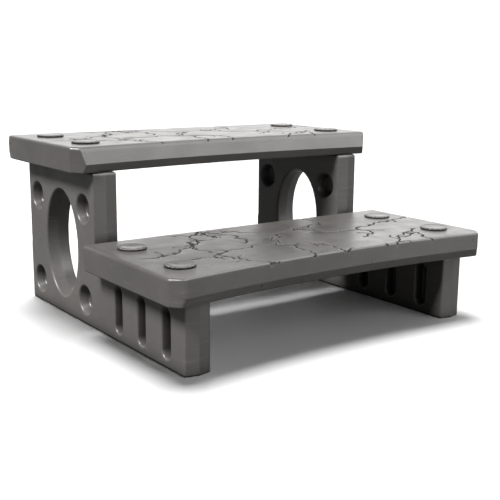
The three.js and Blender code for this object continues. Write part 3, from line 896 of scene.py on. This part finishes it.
def tread_material():
    """The treads' plastic, with the joints darkened near to black, and pale chips and a painted highlight
    along them.
    """
    material, tree, colour, rough = plastic("tread_plastic", *TREAD_PLASTIC)
    shader = tree.nodes["Principled BSDF"]
    where = tree.nodes.new("ShaderNodeTexCoord").outputs["Object"]
    groove = add_node(tree, "ShaderNodeAttribute", {"attribute_name": "groove"}).outputs["Fac"]
    # A pale patchy band along each joint's lip: partly chips, partly a painted highlight.
    lip_chips_and_highlight = multiply(tree, spread(tree, groove, 0.0, 0.08), spread(tree, groove, 0.35, 0.1))
    chip = multiply(tree, lip_chips_and_highlight, spread(tree, noise_node(tree, where, 150.0, 2.0), 0.52, 0.6))
    colour = blend_colours(tree, multiply(tree, chip, 0.3), colour, grey(CHIP_AND_HIGHLIGHT_GREY))
    # The joints are darkened near to black, and made rougher there.
    joint_darkening = spread(tree, groove, 0.06, 0.3)
    colour = blend_colours(tree, multiply(tree, joint_darkening, 0.95), colour, grey(JOINT_DARK_GREY))
    tree.links.new(colour, shader.inputs["Base Color"])
    tree.links.new(spread(tree, joint_darkening, 0.0, 1.0, rough, JOINT_DARK_ROUGHNESS), shader.inputs["Roughness"])
    return material


def finish_piece(piece, node, look):
    """Gives a new piece its material, and lets it stand for its CAD node."""
    piece.data.materials.clear()
    piece.data.materials.append(look)
    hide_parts(node)
    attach(piece, "root")


# ================================================================ floor, light and camera
FLOOR_REACH = 30.0  # metres
FLOOR_PALE = 0.95  # its grey as the camera sees it
FLOOR_BOUNCE = 0.11  # its grey for the light that it reflects onto the steps
FLOOR_ROUGHNESS = 0.6


def build_floor():
    """A wide pale floor, faintly clouded."""
    mesh = bpy.data.meshes.new("floor")
    corners = [(x * FLOOR_REACH, y * FLOOR_REACH, 0) for x, y in ((-1, -1), (1, -1), (1, 1), (-1, 1))]
    mesh.from_pydata(corners, [], [(0, 1, 2, 3)])
    floor = bpy.data.objects.new("floor", mesh)
    bpy.context.scene.collection.objects.link(floor)
    material = bpy.data.materials.new("floor_paint")
    material.use_nodes = True
    tree = material.node_tree
    shader = tree.nodes["Principled BSDF"]
    where = tree.nodes.new("ShaderNodeTexCoord").outputs["Object"]
    cloud = noise_node(tree, where, 1.5, 2.0)
    darker, paler = grey(FLOOR_PALE, 0.0), grey(FLOOR_PALE * 1.03, 0.0)
    colour = blend_colours(tree, spread(tree, cloud, 0.3, 0.7), darker, paler)
    seen = tree.nodes.new("ShaderNodeLightPath").outputs["Is Camera Ray"]
    colour = blend_colours(tree, seen, grey(FLOOR_BOUNCE, 0.0), colour)
    tree.links.new(colour, shader.inputs["Base Color"])
    shader.inputs["Roughness"].default_value = FLOOR_ROUGHNESS
    mesh.materials.append(material)
    return floor


# Where the studio's reflections come from: direction, how wide (cosines of fade and full), brightness.
WORLD_LOBES = [
    ((0.66, 0.73, 0.2), 0.55, 0.94, 1.8),
    ((0.55, -0.66, 0.8), 0.62, 0.97, 5.0),
]
WORLD_BASE = 0.06  # the dim room's own light
BACKDROP = 1.05  # how bright the room looks to the camera


def build_world():
    """A white backdrop to the camera, and a dim room whose softboxes show only in reflections."""
    world = bpy.data.worlds.new("studio")
    world.use_nodes = True
    tree = world.node_tree
    tree.nodes.clear()
    where = tree.nodes.new("ShaderNodeTexCoord").outputs["Generated"]
    level = 0.0
    for axis, fade, full, brightness in WORLD_LOBES:
        inputs = {0: where, 1: Vector(axis).normalized()}
        facing = add_node(tree, "ShaderNodeVectorMath", {"operation": "DOT_PRODUCT"}, inputs)
        lobe = spread(tree, facing.outputs["Value"], fade, full, 0, brightness)
        level = add_node(tree, "ShaderNodeMath", {"operation": "ADD"}, {0: level, 1: lobe}).outputs[0]
    path = tree.nodes.new("ShaderNodeLightPath")
    glossy = multiply(tree, level, path.outputs["Is Glossy Ray"])
    level = add_node(tree, "ShaderNodeMath", {"operation": "ADD"}, {0: glossy, 1: WORLD_BASE}).outputs[0]
    lit = add_node(tree, "ShaderNodeBackground", {}, {"Color": (1, 1, 1, 1), "Strength": level})
    backdrop = add_node(tree, "ShaderNodeBackground", {}, {"Color": (1, 1, 1, 1), "Strength": BACKDROP})
    seen = path.outputs["Is Camera Ray"]
    mixed = add_node(tree, "ShaderNodeMixShader", {}, {0: seen, 1: lit.outputs[0], 2: backdrop.outputs[0]})
    output = tree.nodes.new("ShaderNodeOutputWorld")
    tree.links.new(mixed.outputs[0], output.inputs["Surface"])
    bpy.context.scene.world = world


# name, direction towards the light, strength, angle across in degrees, and how it treats the floor
LIGHTS = [
    ("key", (-1.0, -0.1, 1.18), 6.3, 20, "EXCLUDE"),
    ("front_fill", (0.2, -1.0, 0.5), 1.0, 50, "EXCLUDE"),
    ("floor_key", (0.06, 0.2, 1.0), 4.0, 28, "INCLUDE"),
    ("floor_fill", (0.3, -1.0, 0.45), 0.7, 60, "INCLUDE"),
]


def add_sun(name, direction, strength, angle):
    lamp = bpy.data.lights.new(name, "SUN")
    lamp.energy = strength
    lamp.angle = math.radians(angle)
    sun = bpy.data.objects.new(name, lamp)
    sun.rotation_euler = Vector(direction).to_track_quat("Z", "Y").to_euler()
    bpy.context.scene.collection.objects.link(sun)
    return sun


def link_light(sun, target, state):
    """Lets a light reach only the target ("INCLUDE"), or everything but the target ("EXCLUDE")."""
    reached = bpy.data.collections.new(sun.name + "_reach")
    reached.objects.link(target)
    reached.collection_objects[0].light_linking.link_state = state
    sun.light_linking.receiver_collection = reached


def build_lights(floor):
    """A soft key from the upper left, a fill from the front, and the floor's own two lights."""
    for name, direction, strength, angle, state in LIGHTS:
        link_light(add_sun(name, direction, strength, angle), floor, state)


CAMERA_PLACE = (-1.0955, -1.5509, 0.5337)  # metres
CAMERA_YAW = 35.82  # degrees to the right of +Y
CAMERA_PITCH = 12.11  # degrees down
CAMERA_ROLL = 0.45
CAMERA_LENS = 63.95
SENSOR_WIDTH = 36.0


def build_camera():
    """A camera in front of the steps, to their left and a little above them."""
    yaw, pitch, roll = (math.radians(v) for v in (CAMERA_YAW, CAMERA_PITCH, CAMERA_ROLL))
    ahead = Vector((math.sin(yaw) * math.cos(pitch), math.cos(yaw) * math.cos(pitch), -math.sin(pitch)))
    level = Vector((math.cos(yaw), -math.sin(yaw), 0))
    upright = level.cross(ahead)
    right = math.cos(roll) * level + math.sin(roll) * upright
    up = -math.sin(roll) * level + math.cos(roll) * upright
    lens = bpy.data.cameras.new("camera")
    lens.lens = CAMERA_LENS
    lens.sensor_width = SENSOR_WIDTH
    camera = bpy.data.objects.new("camera", lens)
    turn = Matrix((right, up, -ahead)).transposed().to_4x4()
    camera.matrix_world = Matrix.Translation(CAMERA_PLACE) @ turn
    bpy.context.scene.collection.objects.link(camera)
    bpy.context.scene.camera = camera


def dress_bushings():
    """Gives the bushings, which stay as the CAD has them, their material."""
    look = bushing_material()
    for name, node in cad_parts.items():
        if "_bushing_" in name:
            for slot in node.material_slots:
                slot.material = look


build_camera()
build_world()
build_lights(build_floor())
build_panels()
tread_look = tread_material()
build_tread("lower", FRONT_Y, tread_look)
build_tread("upper", FRONT_Y + TREAD_OFFSET, tread_look)
build_screws()
dress_bushings()
bpy.context.scene.view_settings.view_transform = "Standard"
